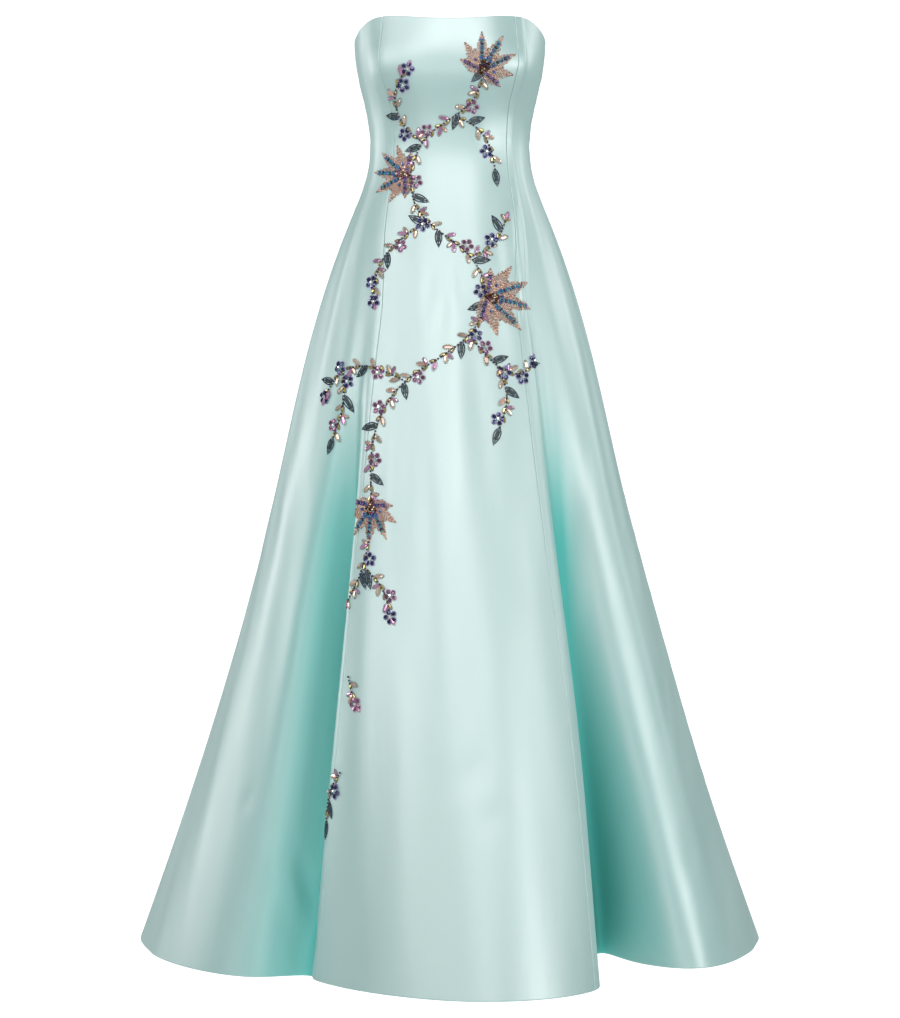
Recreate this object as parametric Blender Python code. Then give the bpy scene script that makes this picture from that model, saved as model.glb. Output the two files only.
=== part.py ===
"""A floor-length strapless gown cut in princess panels, in the shape it takes when worn, and empty.

Run it with blender --background --python part.py, or from Blender's text editor.
Lengths are metres and angles degrees. +Z is up and the wearer faces -Y, so the wearer's left is +X.
The origin is the centre of the waist, where the wearer's body holds the gown. Seven panels run from
the neckline to the hem with no waist seam, and a concealed zip closes the centre back.
"""

import math
from collections import namedtuple

import bmesh
import bpy
import numpy as np

# Driving sizes
WALL = 0.002
SEAM_GAP = 0.0003
WAIST_Z = 0.0
HIP_Z = -0.28
KNEE_Z = -0.80
HEM_Z = -1.229
BODICE_ROWS = 9
SKIRT_ROWS = 17
COLUMNS_BETWEEN_FOLDS = 4
SKIRT_ROW_CROWDING = 1.35

# The fitted body of the gown at each height: a rounded oval with its own depth in front and behind.
# The front half widths are the photograph's outline, and squareness 2 is a true ellipse.
Section = namedtuple("Section", "z half_width front back squareness")
SECTIONS = (
    Section(0.200, 0.1470, 0.108, 0.088, 2.35),
    Section(0.150, 0.1470, 0.119, 0.094, 2.40),
    Section(0.102, 0.1400, 0.119, 0.093, 2.40),
    Section(0.055, 0.1290, 0.103, 0.088, 2.30),
    Section(0.000, 0.1232, 0.092, 0.086, 2.20),
    Section(-0.046, 0.1294, 0.098, 0.096, 2.20),
    Section(-0.100, 0.1490, 0.113, 0.117, 2.15),
    Section(-0.158, 0.1713, 0.132, 0.141, 2.10),
    Section(-0.279, 0.2090, 0.170, 0.183, 2.05),
    Section(-0.440, 0.2485, 0.223, 0.236, 2.00),
    Section(-0.698, 0.3130, 0.303, 0.318, 2.00),
    Section(-0.950, 0.3850, 0.385, 0.400, 2.00),
    Section(HEM_Z, 0.4765, 0.474, 0.492, 2.00),
)

# The top edge, the same on both sides: angle from the centre front, and height above the waist.
NeckPoint = namedtuple("NeckPoint", "degrees z")
NECKLINE = (
    NeckPoint(0, 0.1846),
    NeckPoint(30, 0.1900),
    NeckPoint(52, 0.1880),
    NeckPoint(70, 0.1750),
    NeckPoint(90, 0.1650),
    NeckPoint(135, 0.1560),
    NeckPoint(180, 0.1520),
)

# The bust stands out either side of the centre front, under the princess seams.
BUST_DEGREES, BUST_SPREAD_DEGREES = 36.0, 22.0
BUST_Z, BUST_SPREAD_Z = 0.112, 0.042
BUST_LIFT = 0.085

# Each line down the gown that a fold or a seam follows, from the right side seam round the front to the
# left one. Angles are from the centre front, towards the wearer's left, at the height of the bust, waist,
# hips, knees and hem. A reach is the line's distance from the axis as a share of the oval's.
Fold = namedtuple("Fold", "name bust waist hip knee hem hip_reach knee_reach hem_reach")
FRONT_FOLDS = (
    Fold("side_seam_right", -90, -90, -90, -90, -90, 1.000, 1.000, 1.000),
    Fold("right_flute_side", -81, -81, -78, -75, -72.5, 1.000, 0.980, 0.960),
    Fold("right_flute", -71, -71, -65.5, -63.5, -61.5, 1.000, 0.967, 0.935),
    Fold("right_flute_front", -62, -62, -53.5, -51.5, -49.5, 1.000, 0.950, 0.905),
    Fold("right_slope", -53, -54, -43, -42, -41, 0.995, 0.880, 0.835),
    Fold("right_valley", -46, -48, -35, -34.5, -34.5, 0.988, 0.770, 0.745),
    Fold("front_edge_right", -42, -44, -31.2, -31.8, -31.4, 1.000, 0.885, 0.785),
    Fold("front_seam_right", -40, -42, -29.2, -29.8, -29.6, 1.004, 0.905, 0.803),
    Fold("front_right", -26, -26, -19.5, -18.7, -17.5, 1.000, 0.955, 0.900),
    Fold("front_middle_right", -9, -9, -7, -6, -5, 1.000, 0.995, 0.990),
    Fold("front_middle_left", 9, 9, 6.5, 7, 7.5, 1.000, 1.023, 1.045),
    Fold("front_left", 25, 26, 19, 20, 18.5, 1.000, 1.010, 1.020),
    Fold("front_seam_left", 38, 42.5, 28.5, 29.8, 26.5, 1.000, 0.980, 0.955),
    Fold("left_wall", 46, 49.5, 35.5, 38, 37.5, 0.965, 0.800, 0.720),
    Fold("left_valley", 55, 56.5, 44, 53, 67, 0.955, 0.680, 0.530),
    Fold("left_rise", 64, 64.5, 54.5, 56.5, 56.5, 0.985, 0.810, 0.695),
    Fold("left_flute", 73, 73, 66, 62, 57, 1.000, 0.942, 0.890),
    Fold("left_flute_side", 82, 82, 78.5, 75.5, 72.5, 1.000, 0.980, 0.960),
)
# The back, from the left side seam to the centre back. The right side mirrors it.
BACK_FOLDS = (
    Fold("side_seam_left", 90, 90, 90, 90, 90, 0.985, 1.000, 1.000),
    Fold("side_flute", 102, 102, 103.5, 104, 104.5, 1.000, 1.005, 1.010),
    Fold("side_hollow", 114, 114, 117, 118, 119, 0.990, 0.900, 0.850),
    Fold("back_flute_side", 125, 125, 129, 131, 133, 1.000, 1.000, 1.010),
    Fold("back_seam", 136, 136, 142, 145, 147, 0.990, 0.910, 0.885),
    Fold("back_flute", 151, 151, 155.5, 159, 162, 1.000, 1.015, 1.035),
    Fold("centre_back", 180, 180, 180, 180, 180, 0.990, 0.925, 0.915),
)

# The cut panels: the fold lines that their edges follow.
Panel = namedtuple("Panel", "name first_fold last_fold")
PANELS = (
    Panel("front_panel", "front_seam_right", "front_seam_left"),
    Panel("side_front_left", "front_seam_left", "side_seam_left"),
    Panel("side_back_left", "side_seam_left", "back_seam_left"),
    Panel("back_left", "back_seam_left", "centre_back"),
    Panel("back_right", "centre_back", "back_seam_right"),
    Panel("side_back_right", "back_seam_right", "side_seam_right"),
    Panel("side_front_right", "side_seam_right", "front_seam_right"),
)

# The concealed zip at the centre back
ZIP_SKIRT_ROWS = 5
ZIP_TAPE_HALF_WIDTH = 0.011
ZIP_TAPE_THICKNESS = 0.001
SLIDER_BELOW_NECKLINE = 0.012
PLATE_SIZE = (0.0046, 0.0014, 0.0080)
BRIDGE_SIZE = (0.0012, 0.0032, 0.0052)
BRIDGE_GAP_SIZE = (0.0030, 0.0022, 0.0032)
BRIDGE_SINK = 0.0003
TAB_THICKNESS = 0.0011
TAB_TOP_BAR = 0.0012
TAB_SLOT_WIDTH, TAB_SLOT_LENGTH = 0.0022, 0.0044
TAB_TOP_RADIUS = 0.0022
TAB_FOOT_RADIUS = 0.0031
TAB_LENGTH = 0.021

COLOURS = {
    "satin": (0.60, 0.86, 0.81, 1.0),
    "zip": (0.55, 0.78, 0.74, 1.0),
    "zip_metal": (0.62, 0.72, 0.70, 1.0),
}


def steady_curve(knots, values, places):
    """A smooth curve through values at rising knots that never overshoots them and is level beyond them."""
    knots, values = np.asarray(knots, float), np.asarray(values, float)
    widths = np.diff(knots)
    climbs = np.diff(values) / widths
    slopes = np.zeros(len(knots))
    for i in range(1, len(knots) - 1):
        if climbs[i - 1] * climbs[i] > 0.0:
            slopes[i] = 2.0 / (1.0 / climbs[i - 1] + 1.0 / climbs[i])
    slopes[-1] = climbs[-1]
    places = np.clip(places, knots[0], knots[-1])
    i = np.clip(np.searchsorted(knots, places, side="right") - 1, 0, len(widths) - 1)
    width = widths[i]
    share = (places - knots[i]) / width
    arrive = share * share * (3.0 - 2.0 * share)
    leave = slopes[i] * share * (1.0 - share) ** 2 - slopes[i + 1] * share**2 * (1.0 - share)
    return values[i] * (1.0 - arrive) + values[i + 1] * arrive + width * leave


def cubic_weights(knots, places, period=None):
    """How much each knot's value counts at each place, for a smooth cubic through the knots.

    With a period the curve closes on itself, and without one its ends are free.
    """
    knots = np.asarray(knots, float)
    count = len(knots)
    steps = np.diff(knots, append=knots[0] + period) if period else np.diff(knots)
    bending = np.zeros((count, count))
    pull = np.zeros((count, count))
    for i in range(count):
        if not period and i in (0, count - 1):
            bending[i, i] = 1.0
            continue
        before, after, following = steps[i - 1], steps[i], (i + 1) % count
        bending[i, i - 1] += before
        bending[i, i] += 2.0 * (before + after)
        bending[i, following] += after
        pull[i, i - 1] += 6.0 / before
        pull[i, i] -= 6.0 / before + 6.0 / after
        pull[i, following] += 6.0 / after
    curvature = np.linalg.solve(bending, pull)
    places = np.asarray(places, float).ravel()
    start = np.clip(np.searchsorted(knots, places, side="right") - 1, 0, len(steps) - 1)
    end = (start + 1) % count
    width = steps[start]
    share = (places - knots[start]) / width
    weights = np.zeros((len(places), count))
    rows = np.arange(len(places))
    weights[rows, start] += 1.0 - share
    weights[rows, end] += share
    ease_out = (width**2 / 6.0 * ((1.0 - share) ** 3 - (1.0 - share)))[:, None]
    ease_in = (width**2 / 6.0 * (share**3 - share))[:, None]
    return weights + ease_out * curvature[start] + ease_in * curvature[end]


def section_at(z):
    """The oval's half width, front depth, back depth and squareness at heights z."""
    drops = [-s.z for s in SECTIONS]
    values = np.array([s[1:] for s in SECTIONS])
    found = cubic_weights(drops, -np.asarray(z)) @ values
    return [found[:, column].reshape(np.shape(z)) for column in range(4)]


def turned(fold, name, direction, start):
    """A fold with its angles counted the other way, or from another start."""
    angles = {key: start + direction * getattr(fold, key) for key in ("bust", "waist", "hip", "knee", "hem")}
    return fold._replace(name=name, **angles)


def all_folds():
    """Every fold line in order round the gown, with angles that grow all the way."""
    half = BACK_FOLDS[1:-1]
    left = [turned(fold, fold.name + "_left", 1, 0) for fold in half]
    right = [turned(fold, fold.name + "_right", -1, 360) for fold in reversed(half)]
    return [*FRONT_FOLDS, BACK_FOLDS[0], *left, BACK_FOLDS[-1], *right]


FOLDS = all_folds()


def fold_points(z):
    """Where the fold lines pass at heights z: arrays of x and y, whose first axis is the line."""
    half_width, front, back, squareness = section_at(z)
    drops = [-BUST_Z, -WAIST_Z, -HIP_Z, -KNEE_Z, -HEM_Z]
    in_bust_height = np.exp(-(((z - BUST_Z) / BUST_SPREAD_Z) ** 2))
    xs, ys = [], []
    for fold in FOLDS:
        angles = (fold.bust, fold.waist, fold.hip, fold.knee, fold.hem)
        degrees = steady_curve(drops, angles, -z)
        reach = steady_curve(drops, (1.0, 1.0, fold.hip_reach, fold.knee_reach, fold.hem_reach), -z)
        from_apex = (abs(fold.bust) - BUST_DEGREES) / BUST_SPREAD_DEGREES
        reach = reach + BUST_LIFT * math.exp(-(from_apex**2)) * in_bust_height
        sine, cosine = np.sin(np.radians(degrees)), np.cos(np.radians(degrees))
        depth = np.where(cosine > 0.0, front, back)
        xs.append(reach * half_width * np.sign(sine) * np.abs(sine) ** (2.0 / squareness))
        ys.append(-reach * depth * np.sign(cosine) * np.abs(cosine) ** (2.0 / squareness))
    return np.array(xs), np.array(ys)


def fold_knots():
    """The places round the cloth, in metres along the hem, of the fold lines, and the whole way round."""
    xs, ys = fold_points(np.array([HEM_Z]))
    chords = np.hypot(np.diff(xs[:, 0], append=xs[0, 0]), np.diff(ys[:, 0], append=ys[0, 0]))
    along = np.concatenate([[0.0], np.cumsum(chords)])
    return along[:-1], along[-1]


KNOTS, GIRTH = fold_knots()
PLACE_OF = {fold.name: place for fold, place in zip(FOLDS, KNOTS)}


def around_weights(places):
    """The share of every fold line at places round the cloth."""
    return cubic_weights(KNOTS, np.mod(places, GIRTH), period=GIRTH)


def outer_points(places, z):
    """Points of the cloth's outer side. z has a row for each height and a column for each place."""
    weights = around_weights(places)
    xs, ys = fold_points(z)
    x = np.einsum("pf,frp->rp", weights, xs)
    y = np.einsum("pf,frp->rp", weights, ys)
    return np.stack([x, y, z], axis=-1)


def outward_normals(places, z):
    """Unit normals of the cloth's outer side, from points a little way along and down."""
    nudge = 0.0005
    along = outer_points(places + nudge, z) - outer_points(places - nudge, z)
    down = outer_points(places, z - nudge) - outer_points(places, z + nudge)
    normals = np.cross(down, along)
    return normals / np.linalg.norm(normals, axis=-1, keepdims=True)


def neckline_z(places):
    """Height of the top edge at places round the cloth."""
    bust_angles = np.array([fold.bust for fold in FOLDS])
    # The angle grows by a turn each time round, so the spline works on what it has over a steady growth.
    steady = KNOTS / GIRTH * 360.0
    degrees = around_weights(places) @ (bust_angles - steady) + np.mod(places, GIRTH) / GIRTH * 360.0
    from_front = np.abs((degrees + 180.0) % 360.0 - 180.0)
    knots = [point.degrees for point in NECKLINE]
    # Mirrored points beyond the centre front and back keep the edge level where it crosses them.
    before = [-point.degrees for point in reversed(NECKLINE[1:3])]
    beyond = [360.0 - point.degrees for point in reversed(NECKLINE[-3:-1])]
    heights = [point.z for point in NECKLINE]
    values = [NECKLINE[2].z, NECKLINE[1].z, *heights, NECKLINE[-2].z, NECKLINE[-3].z]
    return cubic_weights([*before, *knots, *beyond], from_front) @ np.array(values)


def panel_places(panel):
    """Places of a panel's columns, a few between each pair of fold lines."""
    names = [fold.name for fold in FOLDS]
    first, last = names.index(panel.first_fold), names.index(panel.last_fold)
    if last <= first:
        last += len(FOLDS)
    stops = [KNOTS[i % len(FOLDS)] + GIRTH * (i // len(FOLDS)) for i in range(first, last + 1)]
    steps = np.arange((last - first) * COLUMNS_BETWEEN_FOLDS + 1) / COLUMNS_BETWEEN_FOLDS
    return np.interp(steps, np.arange(len(stops)), stops)


def row_heights(places):
    """Heights of the rows: the bodice's close up to its top edge, and the skirt's open towards the hem."""
    down = np.linspace(0.0, 1.0, BODICE_ROWS, endpoint=False)[:, None]
    bodice = neckline_z(places)[None, :] * (1.0 - down) + WAIST_Z * down
    share = np.linspace(0.0, 1.0, SKIRT_ROWS + 1)[:, None] ** SKIRT_ROW_CROWDING
    skirt = (WAIST_Z + (HEM_Z - WAIST_Z) * share) * np.ones((1, len(places)))
    return np.concatenate([bodice, skirt])


def drawn_back_from_seams(points):
    """The grid with its first and last columns moved half a seam gap into the panel."""
    points = points.copy()
    for edge, inside in ((0, 1), (-1, -2)):
        inward = points[:, inside] - points[:, edge]
        inward /= np.linalg.norm(inward, axis=-1, keepdims=True)
        points[:, edge] += inward * SEAM_GAP / 2.0
    return points


def wall_object(name, outer, inner, material):
    """A closed wall between two grids of points with the same rows and columns."""
    rows, columns = outer.shape[:2]
    layer = rows * columns

    def index(row, column, inside):
        return row * columns + column + layer * inside

    faces = []
    for row in range(rows - 1):
        for column in range(columns - 1):
            corners = ((row, column), (row + 1, column), (row + 1, column + 1), (row, column + 1))
            faces.append([index(r, c, 0) for r, c in corners])
            faces.append([index(r, c, 1) for r, c in reversed(corners)])
    rim = [(row, 0) for row in range(rows)]
    rim += [(rows - 1, column) for column in range(1, columns)]
    rim += [(row, columns - 1) for row in range(rows - 2, -1, -1)]
    rim += [(0, column) for column in range(columns - 2, 0, -1)]
    for (r0, c0), (r1, c1) in zip(rim, rim[1:] + rim[:1]):
        faces.append([index(r1, c1, 0), index(r0, c0, 0), index(r0, c0, 1), index(r1, c1, 1)])
    points = np.concatenate([outer.reshape(-1, 3), inner.reshape(-1, 3)])
    mesh = bpy.data.meshes.new(name)
    mesh.from_pydata(points.tolist(), [], faces)
    mesh.shade_smooth()
    mesh.set_sharp_from_angle(angle=math.radians(50))
    return add_object(name, mesh, material)


def add_object(name, data, material):
    data.materials.append(material)
    made = bpy.data.objects.new(name, data)
    bpy.data.collections["bustier_gown"].objects.link(made)
    return made


def make_panel(panel, material):
    """One cut panel from the neckline to the hem, as a wall behind its outer side."""
    places = panel_places(panel)
    z = row_heights(places)
    outer = drawn_back_from_seams(outer_points(places, z))
    inner = drawn_back_from_seams(outer_points(places, z) - WALL * outward_normals(places, z))
    inner[0, :, 2] = outer[0, :, 2]
    inner[-1, :, 2] = outer[-1, :, 2]
    return wall_object(panel.name, outer, inner, material)


def make_zip_tape(material):
    """The zip's tapes and chain behind the closed centre back seam, row by row on the panels' inner sides."""
    names = [panel.name for panel in PANELS]
    beside_seam = panel_places(PANELS[names.index("back_right")])[:2]
    places = np.array([2.0 * beside_seam[0] - beside_seam[1], *beside_seam])
    z = row_heights(places)[: BODICE_ROWS + ZIP_SKIRT_ROWS + 1]
    surface, normals = outer_points(places, z), outward_normals(places, z)

    def layer(depth):
        points = surface - depth * normals
        centre = points[:, 1:2]
        reach = points[:, ::2] - centre
        edges = centre + reach * ZIP_TAPE_HALF_WIDTH / np.linalg.norm(reach, axis=-1, keepdims=True)
        return np.concatenate([edges[:, :1], centre, edges[:, 1:]], axis=1)

    face = WALL + SEAM_GAP
    return wall_object("zip_tape", layer(face), layer(face + ZIP_TAPE_THICKNESS), material)


def add_box(name, size, centre, collection):
    bm = bmesh.new()
    bmesh.ops.create_cube(bm, size=1.0)
    bmesh.ops.scale(bm, vec=size, verts=bm.verts)
    bmesh.ops.translate(bm, vec=centre, verts=bm.verts)
    mesh = bpy.data.meshes.new(name)
    bm.to_mesh(mesh)
    bm.free()
    made = bpy.data.objects.new(name, mesh)
    bpy.data.collections[collection].objects.link(made)
    return made


def plate_face():
    """Middle of the slider plate's outer face."""
    place = np.array([PLACE_OF["centre_back"]])
    z = float(neckline_z(place)[0]) - SLIDER_BELOW_NECKLINE
    heights = np.array([[z + PLATE_SIZE[2] / 2.0], [z - PLATE_SIZE[2] / 2.0]])
    furthest_back = outer_points(place, heights)[:, 0, 1].max()
    return float(furthest_back) + SEAM_GAP + PLATE_SIZE[1], z


def swing_axis():
    """The middle of the tab's top bar, inside the bridge, about which the tab swings."""
    face, z = plate_face()
    return 0.0, face + BRIDGE_GAP_SIZE[1] / 2.0, z


def make_zip_slider(material):
    """The slider's plate on the seam, and the bridge that holds the tab."""
    face, z = plate_face()
    slider = add_box("zip_slider", PLATE_SIZE, (0.0, face - PLATE_SIZE[1] / 2.0, z), "bustier_gown")
    slider.data.materials.append(material)
    bridge_y = face - BRIDGE_SINK + BRIDGE_SIZE[1] / 2.0
    gap_y = face - BRIDGE_SINK / 2.0 + BRIDGE_GAP_SIZE[1] / 2.0
    bridge = add_box("bridge", BRIDGE_SIZE, (0.0, bridge_y, z), "helpers")
    bridge_gap = add_box("bridge_gap", BRIDGE_GAP_SIZE, (0.0, gap_y, z), "helpers")
    cut = bridge.modifiers.new(bridge_gap.name, "BOOLEAN")
    cut.operation = "DIFFERENCE"
    cut.object = bridge_gap
    join = slider.modifiers.new(bridge.name, "BOOLEAN")
    join.operation = "UNION"
    join.object = bridge
    for helper in (bridge, bridge_gap):
        helper.hide_render = True
        helper.display_type = "WIRE"
    return slider


def make_zip_tab(material):
    """The drop-shaped tab, hanging with the bar over its slot inside the bridge."""
    curve = bpy.data.curves.new("zip_tab", "CURVE")
    curve.dimensions = "2D"
    curve.fill_mode = "BOTH"
    curve.extrude = TAB_THICKNESS / 2.0
    slot_top = -TAB_TOP_BAR / 2.0
    slot_bottom = slot_top - TAB_SLOT_LENGTH
    top = TAB_TOP_BAR / 2.0
    foot = top - TAB_LENGTH + TAB_FOOT_RADIUS
    corner = TAB_TOP_RADIUS - TAB_TOP_BAR
    outline = []
    for turn in np.linspace(0.0, math.pi / 2.0, 4):
        x = TAB_TOP_RADIUS - corner + corner * math.cos(turn)
        outline.append((x, top - corner + corner * math.sin(turn)))
    outline += [(-x, y) for x, y in reversed(outline)]
    for turn in np.linspace(math.pi, 2.0 * math.pi, 11):
        outline.append((TAB_FOOT_RADIUS * math.cos(turn), foot + TAB_FOOT_RADIUS * math.sin(turn)))
    half_slot = TAB_SLOT_WIDTH / 2.0
    slot = [(half_slot, slot_top), (-half_slot, slot_top), (-half_slot, slot_bottom), (half_slot, slot_bottom)]
    for ring in (outline, slot):
        spline = curve.splines.new("POLY")
        spline.points.add(len(ring) - 1)
        for point, (x, y) in zip(spline.points, ring):
            point.co = (x, y, 0.0, 1.0)
        spline.use_cyclic_u = True
    tab = add_object("zip_tab", curve, material)
    # The outline's plane turns to stand across the wearer's back, facing out.
    tab.rotation_euler = (math.pi / 2.0, 0.0, 0.0)
    tab.location = swing_axis()
    return tab


def make_material(name, roughness, metallic):
    material = bpy.data.materials.new(name)
    material.use_nodes = True
    shader = material.node_tree.nodes["Principled BSDF"]
    shader.inputs["Base Color"].default_value = COLOURS[name]
    shader.inputs["Roughness"].default_value = roughness
    shader.inputs["Metallic"].default_value = metallic
    return material


def main():
    for old in list(bpy.data.objects):
        bpy.data.objects.remove(old)
    for name in ("bustier_gown", "helpers"):
        collection = bpy.data.collections.new(name)
        bpy.context.scene.collection.children.link(collection)
    satin = make_material("satin", 0.35, 0.0)
    zip_cloth = make_material("zip", 0.8, 0.0)
    zip_metal = make_material("zip_metal", 0.4, 0.3)
    for panel in PANELS:
        make_panel(panel, satin)
    make_zip_tape(zip_cloth)
    make_zip_slider(zip_metal)
    make_zip_tab(zip_metal)


main()
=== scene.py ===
"""A strapless gown of heavy satin with a beaded vine down its front, hollow as it is worn.

Lengths are metres and angles degrees, unless a name says otherwise. +Z is up, the wearer faces -Y,
and the wearer's left is +X. Cloth is described by places round it, in metres along the hem, and by
height. Sewn work is laid out by how far across the cloth it is from the centre front.
"""

import math
from collections import namedtuple

import bmesh
import bpy
import numpy as np
from mathutils import Matrix


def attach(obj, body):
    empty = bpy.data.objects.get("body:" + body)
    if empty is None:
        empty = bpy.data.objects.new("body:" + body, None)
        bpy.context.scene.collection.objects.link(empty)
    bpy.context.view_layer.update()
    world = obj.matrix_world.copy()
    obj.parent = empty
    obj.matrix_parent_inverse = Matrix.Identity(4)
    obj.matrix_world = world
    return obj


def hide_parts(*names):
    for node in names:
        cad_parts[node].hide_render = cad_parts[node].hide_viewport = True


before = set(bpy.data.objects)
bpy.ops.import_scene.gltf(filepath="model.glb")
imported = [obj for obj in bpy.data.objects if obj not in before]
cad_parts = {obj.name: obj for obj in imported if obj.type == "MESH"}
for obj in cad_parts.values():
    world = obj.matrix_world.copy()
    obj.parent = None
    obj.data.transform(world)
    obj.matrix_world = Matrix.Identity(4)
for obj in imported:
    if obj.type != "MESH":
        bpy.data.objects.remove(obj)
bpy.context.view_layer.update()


def table(columns, *rows):
    """Rows whose columns have names."""
    row_type = namedtuple("Row", columns)
    return [row_type(*row) for row in rows]


# The cut, as the solids have it
WALL = 0.002
SEAM_GAP = 0.0003
WAIST_Z = 0.0
HIP_Z = -0.28
KNEE_Z = -0.8
HEM_Z = -1.229

# The fitted body of the gown at each height: a rounded oval with its own depth in front and behind.
SECTIONS = table(
    "z half_width front back squareness",
    (0.2, 0.147, 0.108, 0.088, 2.35),
    (0.15, 0.147, 0.119, 0.094, 2.4),
    (0.102, 0.14, 0.119, 0.093, 2.4),
    (0.055, 0.129, 0.103, 0.088, 2.3),
    (0.0, 0.1232, 0.092, 0.086, 2.2),
    (-0.046, 0.1294, 0.098, 0.096, 2.2),
    (-0.1, 0.149, 0.113, 0.117, 2.15),
    (-0.158, 0.1713, 0.132, 0.141, 2.1),
    (-0.279, 0.209, 0.17, 0.183, 2.05),
    (-0.44, 0.2485, 0.223, 0.236, 2.0),
    (-0.698, 0.313, 0.303, 0.318, 2.0),
    (-0.95, 0.385, 0.385, 0.4, 2.0),
    (HEM_Z, 0.4765, 0.474, 0.492, 2.0),
)

# The top edge, the same on both sides: angle from the centre front, and height above the waist.
NECKLINE = table(
    "degrees z",
    (0, 0.1846),
    (30, 0.19),
    (52, 0.188),
    (70, 0.175),
    (90, 0.165),
    (135, 0.156),
    (180, 0.152),
)

# The bust stands out either side of the centre front, under the princess seams.
BUST_DEGREES, BUST_SPREAD_DEGREES = 36.0, 22.0
BUST_Z, BUST_SPREAD_Z = 0.112, 0.042
BUST_LIFT = 0.085

# Each line down the gown that a fold or a seam follows, from the right side seam round the front to the left
# one. Angles are from the centre front towards the wearer's left. A reach is the line's distance from the
# axis as a share of the oval's.
FOLD_COLUMNS = "name bust waist hip knee hem hip_reach knee_reach hem_reach"
FOLD_HEIGHTS = ("bust", "waist", "hip", "knee", "hem")
FRONT_FOLDS = table(
    FOLD_COLUMNS,
    ("side_seam_right", -90, -90, -90, -90, -90, 1.0, 1.0, 1.0),
    ("right_flute_side", -81, -81, -78, -75, -72.5, 1.0, 0.98, 0.96),
    ("right_flute", -71, -71, -65.5, -63.5, -61.5, 1.0, 0.967, 0.935),
    ("right_flute_front", -62, -62, -53.5, -51.5, -49.5, 1.0, 0.95, 0.905),
    ("right_slope", -53, -54, -43, -42, -41, 0.995, 0.88, 0.835),
    ("right_valley", -46, -48, -35, -34.5, -34.5, 0.988, 0.77, 0.745),
    ("front_edge_right", -42, -44, -31.2, -31.8, -31.4, 1.0, 0.885, 0.785),
    ("front_seam_right", -40, -42, -29.2, -29.8, -29.6, 1.004, 0.905, 0.803),
    ("front_right", -26, -26, -19.5, -18.7, -17.5, 1.0, 0.955, 0.9),
    ("front_middle_right", -9, -9, -7, -6, -5, 1.0, 0.995, 0.99),
    ("front_middle_left", 9, 9, 6.5, 7, 7.5, 1.0, 1.023, 1.045),
    ("front_left", 25, 26, 19, 20, 18.5, 1.0, 1.01, 1.02),
    ("front_seam_left", 38, 42.5, 28.5, 29.8, 26.5, 1.0, 0.98, 0.955),
    ("left_wall", 46, 49.5, 35.5, 38, 37.5, 0.965, 0.8, 0.72),
    ("left_valley", 55, 56.5, 44, 53, 67, 0.955, 0.68, 0.53),
    ("left_rise", 64, 64.5, 54.5, 56.5, 56.5, 0.985, 0.81, 0.695),
    ("left_flute", 73, 73, 66, 62, 57, 1.0, 0.942, 0.89),
    ("left_flute_side", 82, 82, 78.5, 75.5, 72.5, 1.0, 0.98, 0.96),
)
# The back, from the left side seam to the centre back. The right side mirrors it.
BACK_FOLDS = table(
    FOLD_COLUMNS,
    ("side_seam_left", 90, 90, 90, 90, 90, 0.985, 1.0, 1.0),
    ("side_flute", 102, 102, 103.5, 104, 104.5, 1.0, 1.005, 1.01),
    ("side_hollow", 114, 114, 117, 118, 119, 0.99, 0.9, 0.85),
    ("back_flute_side", 125, 125, 129, 131, 133, 1.0, 1.0, 1.01),
    ("back_seam", 136, 136, 142, 145, 147, 0.99, 0.91, 0.885),
    ("back_flute", 151, 151, 155.5, 159, 162, 1.0, 1.015, 1.035),
    ("centre_back", 180, 180, 180, 180, 180, 0.99, 0.925, 0.915),
)

# The cut panels: the fold lines that their edges follow.
PANELS = table(
    "name first_fold last_fold",
    ("front_panel", "front_seam_right", "front_seam_left"),
    ("side_front_left", "front_seam_left", "side_seam_left"),
    ("side_back_left", "side_seam_left", "back_seam_left"),
    ("back_left", "back_seam_left", "centre_back"),
    ("back_right", "centre_back", "back_seam_right"),
    ("side_back_right", "back_seam_right", "side_seam_right"),
    ("side_front_right", "side_seam_right", "front_seam_right"),
)

# How fine the cloth is
COLUMN_STEP = 0.0085
LEAST_COLUMNS_BETWEEN_FOLDS = 6
BODICE_ROWS = 30
SKIRT_ROWS = 112
SKIRT_ROW_CROWDING = 1.12
ROLL_RADIUS = 0.0009
ROLL_STEPS = (0.0, 0.0003, 0.0006, 0.001, 0.002)
# Painted shade along the hem: how high a band above the hem takes the darker colour, and how much of it
HEM_SHADE_BAND = 0.0012
HEM_BAND_PAINTED_SHADE = 0.3
# How wide the painted highlight is along the front panel's turned edge at the right front seam
EDGE_HIGHLIGHT_WIDTH = 0.012
SHARP_DEGREES = 55

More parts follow.
